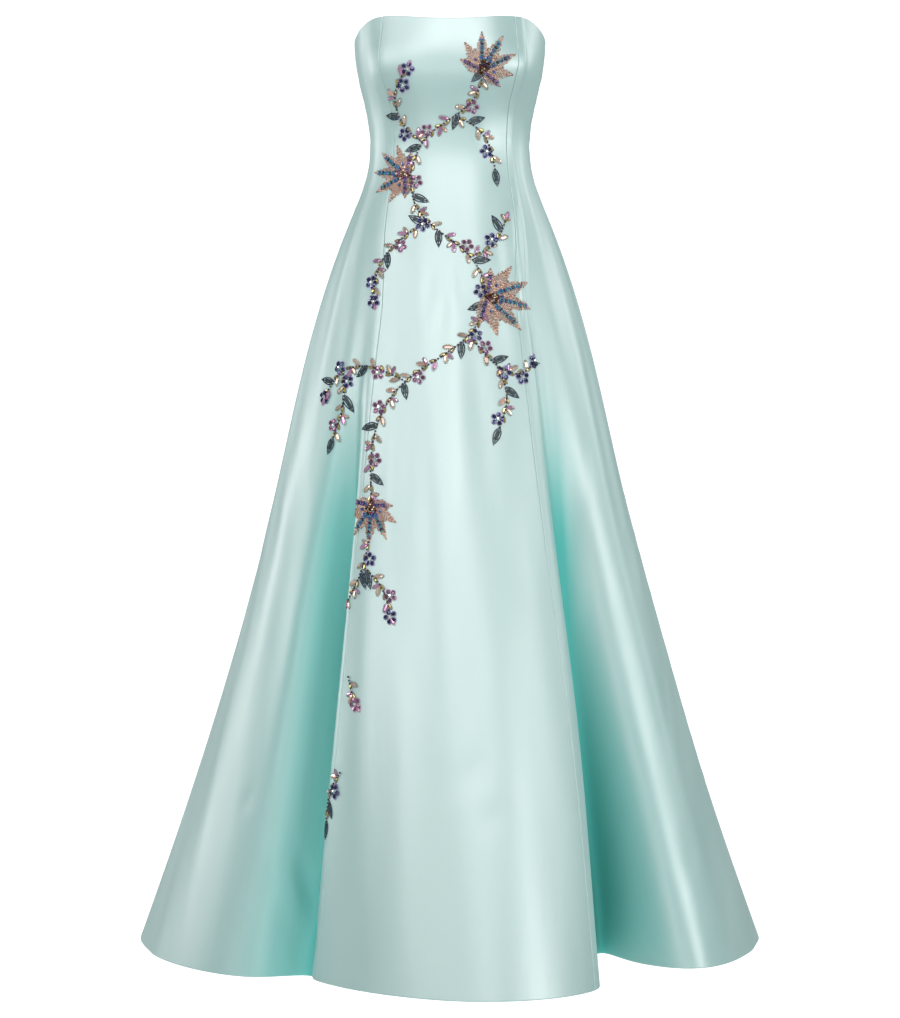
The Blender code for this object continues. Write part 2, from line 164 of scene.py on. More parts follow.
# Soft creases. Each leans so many degrees from the upright, and stands out or sinks in by its depth.
CREASES = table(
    "across z length width lean depth",
    (-0.032, -0.235, 0.11, 0.01, 6, -0.0011),
    (-0.008, -0.262, 0.09, 0.009, 3, -0.0009),
    (0.016, -0.225, 0.07, 0.008, -4, -0.0007),
    (-0.06, -0.19, 0.08, 0.009, 10, 0.0008),
    (0.075, -0.17, 0.12, 0.01, -8, -0.0011),
    (0.1085, -0.235, 0.15, 0.0034, -3, -0.0034),
    (0.106, -0.15, 0.17, 0.005, -3, 0.0022),
    (0.02, -0.93, 0.11, 0.015, 38, -0.0014),
    (0.062, -0.985, 0.09, 0.012, 52, -0.0011),
    (-0.045, -0.86, 0.14, 0.018, -20, 0.0012),
    (-0.15, -1.195, 0.06, 0.006, 4, -0.0013),
    (0.09, -0.62, 0.22, 0.02, -12, -0.0014),
    (-0.09, -0.56, 0.26, 0.02, 7, 0.0013),
    (-0.41, -0.985, 0.06, 0.01, 35, -0.0022),
    (-0.47, -0.7, 0.3, 0.022, 10, -0.0016),
    (-0.33, -0.52, 0.24, 0.018, 8, 0.0014),
    (-0.3, -1.11, 0.2, 0.012, -24, -0.005),
    (-0.33, -1.12, 0.2, 0.016, -24, 0.0036),
    (0.26, -0.48, 0.26, 0.016, -9, -0.0014),
    (0.56, -0.86, 0.26, 0.022, -14, 0.0015),
    (0.64, -1.06, 0.12, 0.014, -30, -0.0016),
    (0.42, -0.64, 0.2, 0.016, -8, 0.0012),
    (0.583, -1.02, 1.1, 0.02, -34, -0.0026),
    (0.02, 0.072, 0.05, 0.012, 84, -0.001),
    (-0.15, 0.02, 0.07, 0.008, 62, -0.0008),
    (0.15, 0.018, 0.08, 0.008, -60, -0.0009),
    (0.9, -0.42, 0.28, 0.02, -6, -0.0014),
    (1.05, -0.76, 0.26, 0.022, 9, 0.0015),
    (1.25, -0.98, 0.22, 0.024, -12, -0.0016),
    (1.48, -0.56, 0.24, 0.02, 5, 0.0013),
    (1.62, -0.88, 0.3, 0.024, -8, -0.0015),
    (1.9, -1.04, 0.24, 0.024, 10, 0.0015),
    (0.39, -0.13, 0.08, 0.009, 4, -0.0009),
    (0.3, -0.15, 0.09, 0.009, -8, -0.0009),
    (0.47, -0.17, 0.1, 0.01, 6, 0.0008),
)

# Slow waves in the cloth: how many run round it, and how long they are down it.
WAVES = table(
    "count down_length start depth",
    (11, 1.9, 0.4, 0.0016),
    (20, -1.1, 2.1, 0.0009),
    (35, 0.74, 4.4, 0.0004),
)
WAVES_START_Z, WAVES_FULL_Z = 0.1, -0.45

# Painted shade along the fold lines in hollows: how much of the darker colour and the dull shader each line takes,
# growing down from the hips. Below 0 it is a painted highlight: how much of the paler colour a turned edge takes.
FOLD_PAINTED_SHADE = table(
    "fold knee hem",
    ("right_flute_front", 0.28, 0.25),
    ("right_slope", 0.85, 0.72),
    ("right_valley", 0.95, 1.0),
    ("front_edge_right", -0.8, -0.8),
    ("front_seam_right", -0.8, -0.8),
    ("left_wall", 1.0, 0.9),
    ("left_valley", 1.0, 1.0),
    ("left_rise", 0.1, 0.62),
    ("left_flute", 0.12, 0.24),
    ("side_hollow_left", 0.6, 0.9),
    ("back_seam_left", 0.5, 0.7),
    ("centre_back", 0.45, 0.65),
    ("back_seam_right", 0.5, 0.7),
    ("side_hollow_right", 0.6, 0.9),
)
PAINTED_SHADE_START_Z, PAINTED_SHADE_KNEE_Z, PAINTED_SHADE_HEM_Z = -0.26, -0.62, -1.02

# Gathers where the seams hold the cloth: tiny waves down each seam, dying away from it.
PUCKER_LENGTHS = (0.019, 0.031, 0.047)
PUCKER_DEPTH = 0.00022
PUCKER_REACH = 0.011
PUCKER_STARTS_PER_METRE = 9.0

# The photograph's view, at the size of its frame
FRAME_PIXELS = (900, 1018)
METRES_PER_PIXEL = 0.00155
CAMERA_DISTANCE = 4.1
CAMERA_Z = -0.5565
SENSOR_MM = 36.0

FLOOR_BELOW_HEM = 0.006
BACKDROP_STARTS_Y = 5.0
BACKDROP_RADIUS = 1.6
BACKDROP_HALF_WIDTH = 1.95
BACKDROP_HEIGHT = 6.0
FLOOR_STARTS_Y = -7.0
FLOOR_HALF_WIDTH = 8.0
NARROW_ABOVE = 0.2
PAPER = (0.05, 0.05, 0.05, 1.0)
WHITE = (1.0, 1.0, 1.0, 1.0)
PAPER_SHINE = 1.2
ROOM_LIGHT = 0.14

# Tall softboxes round the gown, by degrees to the camera's right, each aimed at a height on the gown's axis.
SOFTBOXES = table(
    "name degrees distance z aim_z width height power",
    ("key", -50.0, 3.8, 1.7, -0.4, 1.1, 3.0, 45.0),
    ("high", -9.0, 4.4, 3.1, 0.0, 2.5, 1.9, 59.0),
    ("high_right", 15.0, 4.4, 3.5, 0.2, 1.5, 1.3, 50.0),
    ("left", -112.0, 3.6, 0.35, -0.5, 0.7, 2.3, 29.0),
    ("right", 49.0, 3.8, 0.1, -0.5, 1.8, 2.0, 43.0),
    ("far_right", 106.0, 3.7, 1.6, -0.3, 1.3, 2.8, 36.0),
    ("back", 180.0, 3.6, 3.0, -0.3, 2.6, 1.8, 120.0),
    ("low", -10.0, 4.7, -0.4, -0.6, 1.8, 1.5, 23.0),
)


def smooth_step(share):
    """0 to 1 with level ends."""
    share = np.clip(share, 0.0, 1.0)
    return share * share * (3.0 - 2.0 * share)


def running_sum(steps):
    """How far along each row of steps has come, from 0 at its start."""
    return np.concatenate([np.zeros_like(steps[..., :1]), np.cumsum(steps, axis=-1)], axis=-1)


def lengths(vectors):
    return np.linalg.norm(vectors, axis=-1)


def unit(vectors):
    return vectors / np.linalg.norm(vectors, axis=-1, keepdims=True)


def steady_curve(knots, values, places):
    """A smooth curve through values at rising knots that never overshoots them and is level beyond them."""
    knots, values = np.asarray(knots, float), np.asarray(values, float)
    widths = np.diff(knots)
    climbs = np.diff(values) / widths
    slopes = np.zeros(len(knots))
    for i in range(1, len(knots) - 1):
        if climbs[i - 1] * climbs[i] > 0.0:
            slopes[i] = 2.0 / (1.0 / climbs[i - 1] + 1.0 / climbs[i])
    slopes[-1] = climbs[-1]
    places = np.clip(places, knots[0], knots[-1])
    i = np.clip(np.searchsorted(knots, places, side="right") - 1, 0, len(widths) - 1)
    share = (places - knots[i]) / widths[i]
    arrive = smooth_step(share)
    leave = slopes[i] * share * (1.0 - share) ** 2 - slopes[i + 1] * share**2 * (1.0 - share)
    return values[i] * (1.0 - arrive) + values[i + 1] * arrive + widths[i] * leave


def cubic_weights(knots, places, period=None):
    """How much each knot's value counts at each place, for a smooth cubic through the knots.

    With a period the curve closes on itself, and without one its ends are free.
    """
    knots, places = np.asarray(knots, float), np.asarray(places, float)
    count = len(knots)
    after = np.diff(knots, append=knots[0] + (period or 0.0))[:, None]
    before = np.roll(after, 1)
    here = np.eye(count)
    previous, following = np.roll(here, -1, axis=1), np.roll(here, 1, axis=1)
    bending = before * previous + 2.0 * (before + after) * here + after * following
    pull = 6.0 / before * previous - (6.0 / before + 6.0 / after) * here + 6.0 / after * following
    if not period:
        bending[[0, -1]], pull[[0, -1]] = here[[0, -1]], 0.0
    curvature = np.linalg.solve(bending, pull)
    last_start = count - 1 if period else count - 2
    start = np.clip(np.searchsorted(knots, places, side="right") - 1, 0, last_start)
    end = (start + 1) % count
    width = after[start]
    share = (places - knots[start])[..., None] / width
    ease_out = width**2 / 6.0 * ((1.0 - share) ** 3 - (1.0 - share))
    ease_in = width**2 / 6.0 * (share**3 - share)
    straight = (1.0 - share) * here[start] + share * here[end]
    return straight + (ease_out * curvature[start] + ease_in * curvature[end])


def section_at(z):
    """The oval's half width, front depth, back depth and squareness at heights z."""
    values = np.array([s[1:] for s in SECTIONS])
    found = cubic_weights([-s.z for s in SECTIONS], -np.asarray(z)) @ values
    return np.moveaxis(found, -1, 0)


def mirrored(fold):
    """A back fold's twin on the wearer's right, with its angles counted on round the gown."""
    angles = {key: 360 - getattr(fold, key) for key in FOLD_HEIGHTS}
    return fold._replace(name=fold.name + "_right", **angles)


def all_folds():
    """Every fold line in order round the gown, with angles that grow all the way."""
    half = BACK_FOLDS[1:-1]
    left = [fold._replace(name=fold.name + "_left") for fold in half]
    return [*FRONT_FOLDS, BACK_FOLDS[0], *left, BACK_FOLDS[-1], *map(mirrored, reversed(half))]


FOLDS = all_folds()


def fold_points(z):
    """Where the fold lines pass at heights z: arrays of x and y, whose first axis is the line."""
    half_width, front, back, squareness = section_at(z)
    drops = [-BUST_Z, -WAIST_Z, -HIP_Z, -KNEE_Z, -HEM_Z]
    in_bust_height = np.exp(-(((z - BUST_Z) / BUST_SPREAD_Z) ** 2))
    xs, ys = [], []
    for fold in FOLDS:
        degrees = steady_curve(drops, [getattr(fold, key) for key in FOLD_HEIGHTS], -z)
        reach = steady_curve(drops, (1.0, 1.0, fold.hip_reach, fold.knee_reach, fold.hem_reach), -z)
        from_apex = (abs(fold.bust) - BUST_DEGREES) / BUST_SPREAD_DEGREES
        reach = reach + BUST_LIFT * math.exp(-(from_apex**2)) * in_bust_height
        sine, cosine = np.sin(np.radians(degrees)), np.cos(np.radians(degrees))
        depth = np.where(cosine > 0.0, front, back)
        xs.append(reach * half_width * np.sign(sine) * np.abs(sine) ** (2.0 / squareness))
        ys.append(-reach * depth * np.sign(cosine) * np.abs(cosine) ** (2.0 / squareness))
    return np.array(xs), np.array(ys)


def fold_knots():
    """The places round the cloth, in metres along the hem, of the fold lines, and the whole way round."""
    xs, ys = fold_points(np.array([HEM_Z]))
    chords = np.hypot(np.diff(xs[:, 0], append=xs[0, 0]), np.diff(ys[:, 0], append=ys[0, 0]))
    along = running_sum(chords)
    return along[:-1], along[-1]


KNOTS, GIRTH = fold_knots()
PLACE_OF = {fold.name: place for fold, place in zip(FOLDS, KNOTS)}
CENTRE_FRONT = (PLACE_OF["front_middle_right"] + PLACE_OF["front_middle_left"]) / 2.0


def around_weights(places):
    """The share of every fold line at places round the cloth."""
    return cubic_weights(KNOTS, np.mod(places, GIRTH), period=GIRTH)


def smooth_points(places, z):
    """Points of the uncreased cloth at places and heights, given as arrays of one shape."""
    weights = np.moveaxis(around_weights(places), -1, 0)
    xs, ys = fold_points(z)
    return np.stack([(weights * xs).sum(axis=0), (weights * ys).sum(axis=0), z], axis=-1)


def smooth_normals(places, z):
    """Unit normals of the uncreased cloth, facing out."""
    nudge = 0.0005
    along = smooth_points(places + nudge, z) - smooth_points(places - nudge, z)
    down = smooth_points(places, z - nudge) - smooth_points(places, z + nudge)
    return unit(np.cross(down, along))


def neckline_z(places):
    """Height of the top edge at places round the cloth."""
    bust_angles = np.array([fold.bust for fold in FOLDS])
    # The angle grows by a turn each time round, so the spline works on what it has over a steady growth.
    steady = KNOTS / GIRTH * 360.0
    degrees = around_weights(places) @ (bust_angles - steady) + np.mod(places, GIRTH) / GIRTH * 360.0
    from_front = np.abs((degrees + 180.0) % 360.0 - 180.0)
    # Mirrored points beyond the centre front and back keep the edge level where it crosses them.
    before = [(-point.degrees, point.z) for point in NECKLINE[2:0:-1]]
    beyond = [(360.0 - point.degrees, point.z) for point in NECKLINE[-2:-4:-1]]
    knots, heights = zip(*before, *NECKLINE, *beyond)
    return cubic_weights(knots, from_front) @ np.array(heights)


# Distances across the cloth are measured along it from the centre front, at so many places and heights.
MEASURED_PLACES = np.linspace(0.0, GIRTH, 1500)
MEASURED_HEIGHTS = np.linspace(HEM_Z, NECKLINE[1].z + 0.01, 160)


def measured_across():
    along = running_sum(lengths(np.diff(smooth_points(*np.meshgrid(MEASURED_PLACES, MEASURED_HEIGHTS)), axis=1)))
    start = np.array([np.interp(CENTRE_FRONT, MEASURED_PLACES, row) for row in along])
    return along - start[:, None]


ACROSS = measured_across()


def across_at(places, z):
    """Distances across at places and heights given as arrays of one shape."""
    column = np.interp(places, MEASURED_PLACES, np.arange(len(MEASURED_PLACES)))
    row = np.interp(z, MEASURED_HEIGHTS, np.arange(len(MEASURED_HEIGHTS)))
    left = np.clip(column.astype(int), 0, len(MEASURED_PLACES) - 2)
    low = np.clip(row.astype(int), 0, len(MEASURED_HEIGHTS) - 2)
    right_share, high_share = column - left, row - low
    below, above = (
        ACROSS[line, left] * (1 - right_share) + ACROSS[line, left + 1] * right_share for line in (low, low + 1)
    )
    return below * (1 - high_share) + above * high_share


def place_at(across, z):
    """The place round the cloth at a distance across, at one height."""
    last = len(MEASURED_HEIGHTS) - 1.001  # just short of the last row, so that there is one above
    spot = np.clip(np.interp(z, MEASURED_HEIGHTS, np.arange(len(MEASURED_HEIGHTS))), 0, last)
    low = int(spot)
    distances = ACROSS[low] * (1.0 - spot + low) + ACROSS[low + 1] * (spot - low)
    return np.interp(across, distances, MEASURED_PLACES)


def relief(places, across, z):
    """How far the slow waves and the creases move the cloth outwards."""
    moved = np.zeros(np.shape(z))
    for wave in WAVES:
        moved += wave.depth * np.sin(
            2.0 * math.pi * (wave.count * places / GIRTH + z / wave.down_length) + wave.start
        )
    moved *= smooth_step((WAVES_START_Z - z) / (WAVES_START_Z - WAVES_FULL_Z))
    for crease in CREASES:
        lean = math.radians(crease.lean)
        right, up = across - crease.across, z - crease.z
        along = (right * math.sin(lean) + up * math.cos(lean)) / (crease.length / 2.0)
        aside = (right * math.cos(lean) - up * math.sin(lean)) / crease.width
        fade = np.clip(1.0 - along**2, 0.0, 1.0) ** 2
        moved += crease.depth * fade * np.exp(-(aside**2))
    return moved


def painted_shade_at(places, z):
    """How much painted shade the cloth takes: 1 in a hollow, 0 on plain cloth, and below 0 a painted highlight along a
    turned edge.
    """
    rows = {row.fold: (row.knee, row.hem) for row in FOLD_PAINTED_SHADE}
    at_folds = np.array([rows.get(fold.name, (0.0, 0.0)) for fold in (*FOLDS, FOLDS[0])])
    knee, hem = (np.interp(np.mod(places, GIRTH), np.append(KNOTS, GIRTH), column) for column in at_folds.T)
    lower = smooth_step((PAINTED_SHADE_KNEE_Z - z) / (PAINTED_SHADE_KNEE_Z - PAINTED_SHADE_HEM_Z))
    grown = smooth_step((PAINTED_SHADE_START_Z - z) / (PAINTED_SHADE_START_Z - PAINTED_SHADE_KNEE_Z))
    return (knee + (hem - knee) * lower) * grown


def cloth_points(places, z):
    """Points of the cloth with its waves and creases."""
    across = across_at(np.mod(places, GIRTH), z)
    return smooth_points(places, z) + smooth_normals(places, z) * relief(places, across, z)[..., None]


def puckers(z, from_seam, start):
    """Tiny waves down a seam, which die away from it."""
    waves = sum(np.sin(2.0 * math.pi * z / length + start + i) for i, length in enumerate(PUCKER_LENGTHS))
    return PUCKER_DEPTH * waves * np.exp(-from_seam / PUCKER_REACH)


def rolled_in(from_edge):
    """How far an edge's turned cloth drops inwards, close to it."""
    inside = np.clip(ROLL_RADIUS - from_edge, 0.0, ROLL_RADIUS)
    return ROLL_RADIUS - np.sqrt(ROLL_RADIUS**2 - inside**2)


def panel_columns(panel):
    """Places of a panel's inner columns, and those of its two edges."""
    names = [fold.name for fold in FOLDS]
    first, last = names.index(panel.first_fold), names.index(panel.last_fold)
    if last <= first:
        last += len(FOLDS)
    stops = [KNOTS[i % len(FOLDS)] + GIRTH * (i // len(FOLDS)) for i in range(first, last + 1)]
    columns = []
    for start, end in zip(stops, stops[1:]):
        count = max(LEAST_COLUMNS_BETWEEN_FOLDS, math.ceil((end - start) / COLUMN_STEP))
        columns.extend(np.linspace(start, end, count, endpoint=False))
    return np.array(columns[1:]), stops[0], stops[-1]


def metres_per_place(place, z):
    """How many metres of cloth a metre of places covers, at heights z beside a place."""
    nudge = 0.002
    step = smooth_points(np.full_like(z, place + nudge), z) - smooth_points(np.full_like(z, place - nudge), z)
    return lengths(step) / (2.0 * nudge)


def panel_grid(panel):
    """Places and heights of a panel's grid of points, close together beside its edges."""
    inner, start, end = panel_columns(panel)
    steps = np.array(ROLL_STEPS)
    everywhere = np.concatenate([np.full(len(steps), start), inner, np.full(len(steps), end)])
    top = neckline_z(everywhere)[None, :]
    share = np.linspace(0.0, 1.0, BODICE_ROWS, endpoint=False)[:, None]
    bodice = (top - steps[-1]) * (1.0 - share) + WAIST_Z * share
    share = np.linspace(0.0, 1.0, SKIRT_ROWS)[:, None] ** SKIRT_ROW_CROWDING
    skirt = WAIST_Z + (HEM_Z + steps[-1] - WAIST_Z) * share * np.ones_like(top)
    hem = HEM_Z + steps[-2::-1, None] * np.ones_like(top)
    z = np.concatenate([top - steps[:-1, None], bodice, skirt, hem])
    beside_start = (steps + SEAM_GAP / 2.0) / metres_per_place(start, z[:, 0])[:, None]
    beside_end = (steps[::-1] + SEAM_GAP / 2.0) / metres_per_place(end, z[:, -1])[:, None]
    low, high = start + beside_start[:, -1:], end - beside_end[:, :1]
    between = low + (high - low) * ((inner - start) / (end - start))[None, :]
    return np.concatenate([start + beside_start, between, end - beside_end], axis=1), z


def shell_mesh(name, outer, inner, across, z, hollow=None):
    """A closed shell between two grids of points, whose UVs are metres across and down the cloth."""
    rows, columns = outer.shape[:2]
    layer = rows * columns
    grid = np.arange(layer).reshape(rows, columns)
    corners = np.stack([grid[:-1, :-1], grid[1:, :-1], grid[1:, 1:], grid[:-1, 1:]], axis=-1).reshape(-1, 4)
    rim = np.concatenate([grid[:, 0], grid[-1, 1:], grid[-2::-1, -1], grid[0, -2:0:-1]])
    following = np.roll(rim, -1)
    sides = np.stack([following, rim, rim + layer, following + layer], axis=-1)
    faces = np.concatenate([corners, corners[:, ::-1] + layer, sides])
    points = np.concatenate([outer.reshape(-1, 3), inner.reshape(-1, 3)])
    mesh = bpy.data.meshes.new(name)
    mesh.vertices.add(len(points))
    mesh.vertices.foreach_set("co", points.ravel())
    mesh.loops.add(faces.size)
    mesh.loops.foreach_set("vertex_index", faces.ravel())
    mesh.polygons.add(len(faces))
    mesh.polygons.foreach_set("loop_start", np.arange(0, faces.size, 4))
    mesh.update(calc_edges=True)
    uv = np.tile(np.stack([across.ravel(), z.ravel()], axis=-1), (2, 1))
    mesh.uv_layers.new(name="cloth").data.foreach_set("uv", uv[faces.ravel()].ravel())
    # The mask of painted shade, below 0 painted highlight, rides on the points
    if hollow is not None:
        marks = mesh.attributes.new("hollow", "FLOAT", "POINT")
        marks.data.foreach_set("value", np.tile(hollow.ravel(), 2))
    mesh.shade_smooth()
    mesh.set_sharp_from_angle(angle=math.radians(SHARP_DEGREES))
    return mesh


def put(name, data, location=(0.0, 0.0, 0.0), turn=(0.0, 0.0, 0.0)):
    """A new object in the scene."""
    made = bpy.data.objects.new(name, data)
    made.location, made.rotation_euler = location, turn
    bpy.context.scene.collection.objects.link(made)
    return made


def show(name, mesh, material, body="gown", replaces=None):
    """Puts a finished mesh in the scene, on the body that it moves with."""
    mesh.materials.clear()
    mesh.materials.append(material)
    made = put(name, mesh)
    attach(made, body)
    if replaces:
        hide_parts(replaces)
    return made


def sew_panel(panel, material):
    """One cut panel as a thin shell, in place of its solid."""
    places, z = panel_grid(panel)
    across = across_at(np.mod(places, GIRTH), z)
    if panel.last_fold == "side_seam_right":
        across[:, -1] = across[:, -2] + (across[:, -2] - across[:, -3])
    surface, normals = smooth_points(places, z), smooth_normals(places, z)
    along = lengths(np.diff(surface, axis=1))
    from_start = running_sum(along)
    from_end = from_start[:, -1:] - from_start
    lift = relief(places, across, z)
    lift += puckers(z, from_start, PLACE_OF[panel.first_fold] * PUCKER_STARTS_PER_METRE)
    lift += puckers(z, from_end, PLACE_OF[panel.last_fold] * PUCKER_STARTS_PER_METRE)
    from_top, from_hem = z[:1] - z, z - HEM_Z
    drop = np.max([rolled_in(edge) for edge in (from_start, from_end, from_top, from_hem)], axis=0)
    outer = surface + normals * (lift - drop)[..., None]
    inner = surface + normals * (lift - WALL)[..., None]
    inner[0, :, 2], inner[-1, :, 2] = outer[0, :, 2], outer[-1, :, 2]
    # Painted shade in the hollows and along the hem, and a painted highlight along the turned edge at the right front
    # seam; on the front panel that highlight keeps to a narrow strip by its edge.
    hollow = painted_shade_at(places, z)
    if panel.name == "front_panel":
        edge_highlight_share = np.clip(1.0 - from_start / EDGE_HIGHLIGHT_WIDTH, 0.0, 1.0)
        hollow = np.maximum(hollow, 0.0) + np.minimum(hollow, 0.0) * edge_highlight_share
    hollow = np.maximum(hollow, HEM_BAND_PAINTED_SHADE * (from_hem < HEM_SHADE_BAND))
    mesh = shell_mesh("satin_" + panel.name, outer, inner, across, z, hollow)
    made = show("satin_" + panel.name, mesh, material, replaces=panel.name)
    return made


class Nodes:
    """A node tree being wired, for a material or for geometry."""

    def __init__(self, tree):
        self.tree = tree

    def add(self, kind, settings=None, sockets=None, output=0):
        """Adds a node, sets it up, feeds its sockets with values or links, and gives one output."""
        node = self.tree.nodes.new(kind)
        for name, value in (settings or {}).items():
            setattr(node, name, value)
        for name, value in (sockets or {}).items():
            socket = node.inputs[name]
            if isinstance(value, Socket):
                self.tree.links.new(value.socket, socket)
            else:
                socket.default_value = value
        shown = [socket for socket in node.outputs if socket.enabled]
        return Socket(self, shown[output]) if shown else node


class Socket:
    """A node's output, with arithmetic that adds Math nodes."""

    def __init__(self, nodes, socket):
        self.nodes, self.socket = nodes, socket

    def maths(self, operation, first, second):
        return self.nodes.add("ShaderNodeMath", {"operation": operation}, {0: first, 1: second})

    def __add__(self, other):
        return self.maths("ADD", self, other)

    __radd__ = __add__

    def __mul__(self, other):
        return self.maths("MULTIPLY", self, other)


def new_material(name, **constants):
    """A material with one Principled shader, and its nodes."""
    material = bpy.data.materials.new(name)
    material.use_nodes = True
    material.node_tree.nodes.clear()
    nodes = Nodes(material.node_tree)
    shader = nodes.add("ShaderNodeBsdfPrincipled", sockets=constants)
    nodes.add("ShaderNodeOutputMaterial", sockets={"Surface": shader})
    return material, nodes, shader.socket.node


def feed(nodes, shader, **sockets):
    """Links what changes over a surface to a shader's sockets."""
    for name, value in sockets.items():
        nodes.tree.links.new(value.socket, shader.inputs[name.replace("_", " ").title()])


def mixed(nodes, share, first, second):
    """A colour between two, by a share from 0 to 1."""
    return nodes.add("ShaderNodeMix", {"data_type": "RGBA"}, {"Factor": share, 6: first, 7: second})


def noise(nodes, vector, detail, scale=1.0, stretch=None):
    """Soft noise over a surface, finer along the axes with a larger stretch."""
    if stretch:
        vector = nodes.add("ShaderNodeMapping", sockets={"Vector": vector, "Scale": stretch})
    return nodes.add("ShaderNodeTexNoise", sockets={"Vector": vector, "Scale": scale, "Detail": detail})


SATIN_DEEP = (0.25, 0.455, 0.435, 1.0)
SATIN_LIGHT = (0.292, 0.492, 0.472, 1.0)
# Painted shade deep in the folds, and a painted highlight along turned edges
SATIN_PAINTED_SHADE = (0.082, 0.44, 0.4, 1.0)
SATIN_PAINTED_HIGHLIGHT = (0.78, 0.9, 0.88, 1.0)


def satin_material():
    """Heavy satin: long floats down the cloth with a broad whitish sheen. Where the hollow mask is up, a dull shader in
    a darker colour takes over as painted shade, and below 0 a paler colour is a painted highlight along a turned edge.
    """
    sheen = {"IOR": 3.8, "Sheen Weight": 0.05, "Sheen Roughness": 0.4}
    material, nodes, glossy = new_material("pale_satin", **sheen)
    uv = nodes.add("ShaderNodeUVMap", {"uv_map": "cloth"})
    weave = noise(nodes, uv, 2.0, stretch=(2400.0, 160.0, 1.0))
    cloud = noise(nodes, uv, 3.0, stretch=(9.0, 2.5, 1.0))
    uneven = noise(nodes, uv, 4.0, stretch=(26.0, 9.0, 1.0))
    # The mask of painted shade, and below 0 of painted highlight
    hollow = nodes.add("ShaderNodeAttribute", {"attribute_name": "hollow"}, output=2)
    colour = mixed(nodes, cloud * 0.8 + weave * 0.2, SATIN_DEEP, SATIN_LIGHT)
    painted_shade_colour = mixed(nodes, hollow, colour, SATIN_PAINTED_SHADE)
    painted_highlight_colour = mixed(nodes, hollow * -1.0, colour, SATIN_PAINTED_HIGHLIGHT)
    soft_bump = nodes.add("ShaderNodeBump", sockets={"Strength": 0.3, "Distance": 0.0022, "Height": uneven})
    fine_bump = {"Strength": 0.25, "Distance": 0.0001, "Height": weave, "Normal": soft_bump}
    bump = nodes.add("ShaderNodeBump", sockets=fine_bump)
    feed(nodes, glossy, base_color=painted_highlight_colour, roughness=0.38 + cloud * 0.18, normal=bump)
    # A dull shader in the painted shade colour, which takes over in the hollows
    dull_painted_shade = nodes.add("ShaderNodeBsdfPrincipled", sockets={"IOR": 1.45, "Roughness": 0.75})
    feed(nodes, dull_painted_shade.socket.node, base_color=painted_shade_colour, normal=bump)
    glossy_or_painted_shade = {0: hollow, 1: Socket(nodes, glossy.outputs[0]), 2: dull_painted_shade}
    both = nodes.add("ShaderNodeMixShader", sockets=glossy_or_painted_shade)
    nodes.tree.links.new(both.socket, nodes.tree.nodes["Material Output"].inputs["Surface"])
    return material


# The kinds of bead, and how each is drawn
SEED, BUGLE, SEQUIN, STONE, CRYSTAL = "seed_beads", "bugle_beads", "sequins", "marquise_stones", "crystals"

PEACH = (0.66, 0.42, 0.33)
CHAMPAGNE = (0.64, 0.49, 0.38)
TURQUOISE = (0.07, 0.42, 0.55)
BLUE = (0.08, 0.17, 0.48)
VIOLET = (0.3, 0.15, 0.46)
MAUVE = (0.55, 0.28, 0.46)
PLUM = (0.22, 0.09, 0.17)
BRONZE = (0.17, 0.085, 0.045)
SLATE = (0.02, 0.036, 0.046)
NAVY = (0.022, 0.032, 0.11)
OLIVE_GOLD = (0.46, 0.4, 0.12)
CLEAR = (0.82, 0.86, 0.86)
BLUSH = (0.62, 0.44, 0.4)
PEWTER = (0.042, 0.064, 0.074)

# Sizes of beads and of what is drawn with them
SEED_SIZE = 0.0025
SEED_SPACING = 0.0025
BUGLE_LENGTH = 0.0046
BUGLE_WIDTH = 0.0017
BUGLE_HEIGHT = 0.0016
STRAND_SPACING = 0.0019
DASH_SPACING = 0.0033
DASH_LENGTH, DASH_WIDTH, DASH_HEIGHT = 0.0034, 0.0015, 0.0044
DASH_DEGREES = 48.0
SCALE_SIZE, SCALE_HEIGHT = 0.0042, 0.0052
SCALE_SPACING, SCALE_ROW_STEP = 0.0038, 0.0034
CUP_STONE_LENGTH, CUP_STONE_WIDTH, CUP_STONE_HEIGHT = 0.0056, 0.0042, 0.006
LEAF_LENGTHS = (0.023, 0.028)
FLOWER_RADII = (0.0104, 0.0118)
BUD_LENGTHS = (0.0132, 0.0158)
SMALL_BUD_LENGTHS = (0.0086, 0.0102)
GROWTH_DEGREES = (34.0, 60.0)
ROUTE_POINTS = 300
# How much of a bead's height lifts its centre off the cloth, and how far beads rock at random, in radians
BEAD_SEAT = 0.42
BEAD_ROCK, BEAD_PITCH = 0.09, 0.06
TINT_SPREAD = (0.75, 1.25)

# A bead lies so far across and so high, points a way, and has a size and a tint.
Bead = namedtuple("Bead", "kind across z heading length width height tint")
chance = np.random.RandomState(11)


def pick(*tints):
    """One of some tints, by chance."""
    return tints[chance.randint(len(tints))]


def seed(x, y, tint, size=SEED_SIZE):
    return Bead(SEED, x, y, 0.0, size, size, size * 0.8, tint)


def laid(beads, heading, across=0.0, z=0.0):
    """Beads of a motif drawn along +X from its own origin, turned and moved to a place on the cloth."""
    turn = math.radians(heading)
    cosine, sine = math.cos(turn), math.sin(turn)
    return [
        bead._replace(
            across=across + bead.across * cosine - bead.z * sine,
            z=z + bead.across * sine + bead.z * cosine,
            heading=bead.heading + heading,
        )
        for bead in beads
    ]


def part_way(x, length):
    """How far along a length x is, from 0 to 1."""
    return min(1.0, max(0.0, x / length))


